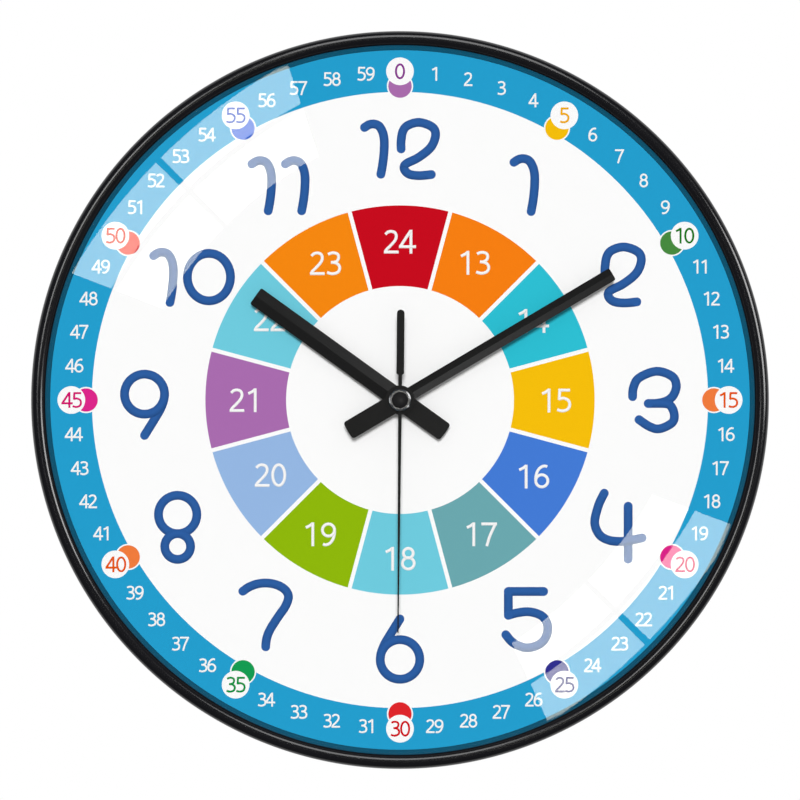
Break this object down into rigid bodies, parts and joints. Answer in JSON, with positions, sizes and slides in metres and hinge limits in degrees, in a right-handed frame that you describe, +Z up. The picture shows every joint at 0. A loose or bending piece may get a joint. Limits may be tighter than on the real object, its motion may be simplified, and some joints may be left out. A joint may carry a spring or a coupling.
{
  "type": "time teaching wall clock",
  "caption": "Round wall clock with a colourful teaching dial, black hands and rim, a flat lens and a quartz movement with its gear train, battery and setting knob.",
  "frame": {"origin": "on the hand axis, in the plane of the wall that the back ring stands against", "axes": "+X to three o'clock, +Y from the face to the wall, +Z up to twelve o'clock"},
  "size_m": [0.3, 0.042, 0.3],
  "materials": {
    "bezel_black": "polished moulding",
    "lens_glass": "clear and flat",
    "dial_print": "printed in colour",
    "case_black": "fine moulded grain",
    "screw_steel": "zinc plated",
    "hanger_steel": "zinc plated sheet",
    "movement_black": "satin moulding",
    "knob_black": "satin moulding",
    "gasket_rubber": "matt",
    "stem_brass": "turned",
    "train_brass": "cut",
    "acetal": "smooth natural moulding",
    "stator_steel": "bare sheet",
    "magnet_grey": "sintered",
    "bobbin_cream": "smooth moulding",
    "winding_copper": "lacquered copper wire",
    "board_green": "solder mask",
    "crystal_can": "tinned can",
    "chip_resin": "resin drop",
    "contact_nickel": "nickel plated strip",
    "cell_jacket": "plain printed jacket",
    "hand_black": "black paint",
    "nut_nickel": "nickel plated",
    "cap_black": "polished"
  },
  "bodies": {
    "case": {"front_bezel": "bezel_black", "lens": "lens_glass", "dial_sheet": "dial_print", "back_plate": "case_black", "case_screws": "screw_steel", "hanger_plate": "hanger_steel", "hanger_screws": "screw_steel", "movement_front_case": "movement_black", "movement_rear_case": "movement_black", "stem_gasket": "gasket_rubber", "stem_washer": "stem_brass", "stem_nut": "stem_brass", "train_plate": "acetal", "stator": "stator_steel", "coil_core": "stator_steel", "coil_bobbin": "bobbin_cream", "coil_winding": "winding_copper", "circuit_board": "board_green", "quartz_crystal": "crystal_can", "chip": "chip_resin", "contact_plus": "contact_nickel", "contact_minus": "contact_nickel"},
    "battery": {"battery": "cell_jacket"},
    "rotor": {"rotor_pinion": "acetal", "rotor_magnet": "magnet_grey"},
    "intermediate": {"intermediate_wheel": "acetal"},
    "second": {"second_wheel": "acetal", "second_hand": "hand_black", "cap_ring": "nut_nickel", "second_cap": "cap_black"},
    "third": {"third_wheel": "acetal"},
    "centre": {"centre_wheel": "train_brass"},
    "minute": {"cannon_pinion": "train_brass", "clutch_spring": "contact_nickel", "minute_hand": "hand_black", "hand_nut": "nut_nickel"},
    "setting": {"minute_wheel": "acetal", "setting_knob": "knob_black"},
    "hour": {"hour_wheel": "acetal", "hour_hand": "hand_black"}
  },
  "joints": [
    {"name": "second_spin", "type": "hinge", "parent": "case", "child": "second", "pos_m": [0, 0, 0], "axis": [0, 1, 0], "continuous": true},
    {"name": "minute_spin", "type": "hinge", "parent": "case", "child": "minute", "pos_m": [0, 0, 0], "axis": [0, 1, 0], "continuous": true},
    {"name": "hour_spin", "type": "hinge", "parent": "case", "child": "hour", "pos_m": [0, 0, 0], "axis": [0, 1, 0], "continuous": true},
    {"name": "centre_spin", "type": "hinge", "parent": "case", "child": "centre", "pos_m": [0, 0, 0], "axis": [0, 1, 0], "continuous": true},
    {"name": "third_spin", "type": "hinge", "parent": "case", "child": "third", "pos_m": [-0.0097, 0, 0], "axis": [0, 1, 0], "continuous": true},
    {"name": "setting_spin", "type": "hinge", "parent": "case", "child": "setting", "pos_m": [0.0102, 0, 0], "axis": [0, 1, 0], "continuous": true},
    {"name": "intermediate_spin", "type": "hinge", "parent": "case", "child": "intermediate", "pos_m": [0.0048, 0, 0.00831], "axis": [0, 1, 0], "continuous": true},
    {"name": "rotor_spin", "type": "hinge", "parent": "case", "child": "rotor", "pos_m": [0.01138, 0, 0.01211], "axis": [0, 1, 0], "continuous": true},
    {"name": "battery_lift", "type": "slide", "parent": "case", "child": "battery", "axis": [0, 1, 0], "range_m": [0, 0.02]}
  ],
  "couplings": [
    {"joint": "intermediate_spin", "follows": "second_spin", "ratio": -6},
    {"joint": "rotor_spin", "follows": "second_spin", "ratio": 30},
    {"joint": "third_spin", "follows": "second_spin", "ratio": -0.13333},
    {"joint": "centre_spin", "follows": "second_spin", "ratio": 0.016667},
    {"joint": "setting_spin", "follows": "minute_spin", "ratio": -0.33333},
    {"joint": "hour_spin", "follows": "minute_spin", "ratio": 0.083333}
  ]
}
